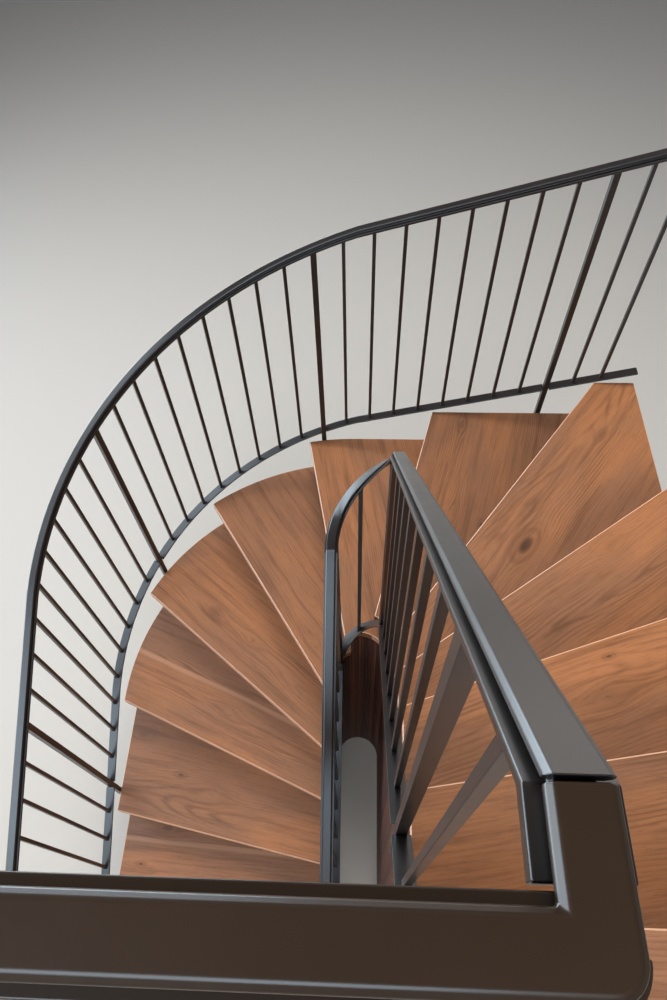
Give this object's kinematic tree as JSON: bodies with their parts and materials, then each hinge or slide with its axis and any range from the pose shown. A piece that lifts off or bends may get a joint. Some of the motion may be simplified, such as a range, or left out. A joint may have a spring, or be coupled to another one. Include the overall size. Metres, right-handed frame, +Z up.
{
  "type": "half-turn winder staircase",
  "caption": "Half-turn winder staircase in oak around a narrow open well, with dark flat-bar steel guards on both edges and along the landing.",
  "frame": {"origin": "on the lower floor, under the middle of the round end of the well lining", "axes": "+Z up; +Y runs up the left-hand flight, away from the landing; +X runs from that flight to the wall side"},
  "size_m": [2.125, 2.679, 3.792],
  "materials": {
    "oak_treads": "satin oiled",
    "oak_risers": "satin oiled",
    "oak_strings": "satin oiled",
    "well_lining": "satin oiled, upright grain",
    "dark_steel": "satin"
  },
  "bodies": {
    "root": {"tread_01": "oak_treads", "tread_02": "oak_treads", "tread_03": "oak_treads", "tread_04": "oak_treads", "tread_05": "oak_treads", "tread_06": "oak_treads", "tread_07": "oak_treads", "tread_08": "oak_treads", "tread_09": "oak_treads", "tread_10": "oak_treads", "tread_11": "oak_treads", "tread_12": "oak_treads", "tread_13": "oak_treads", "landing_board": "oak_treads", "risers": "oak_risers", "outer_string_left": "oak_strings", "outer_string_corner": "oak_strings", "outer_string_far": "oak_strings", "wall_string": "oak_strings", "landing_trimmer": "oak_strings", "lining_left": "well_lining", "lining_round_left": "well_lining", "lining_round_far": "well_lining", "lining_round_right": "well_lining", "lining_right": "well_lining", "outer_cap": "dark_steel", "outer_under_rail": "dark_steel", "outer_bottom_rail": "dark_steel", "outer_balusters": "dark_steel", "outer_posts": "dark_steel", "inner_cap": "dark_steel", "inner_under_rail": "dark_steel", "inner_bottom_rail": "dark_steel", "inner_balusters": "dark_steel", "inner_posts": "dark_steel", "landing_cap": "dark_steel", "landing_under_rail": "dark_steel", "landing_bottom_rail": "dark_steel", "landing_balusters": "dark_steel", "landing_posts": "dark_steel"}
  },
  "joints": []
}
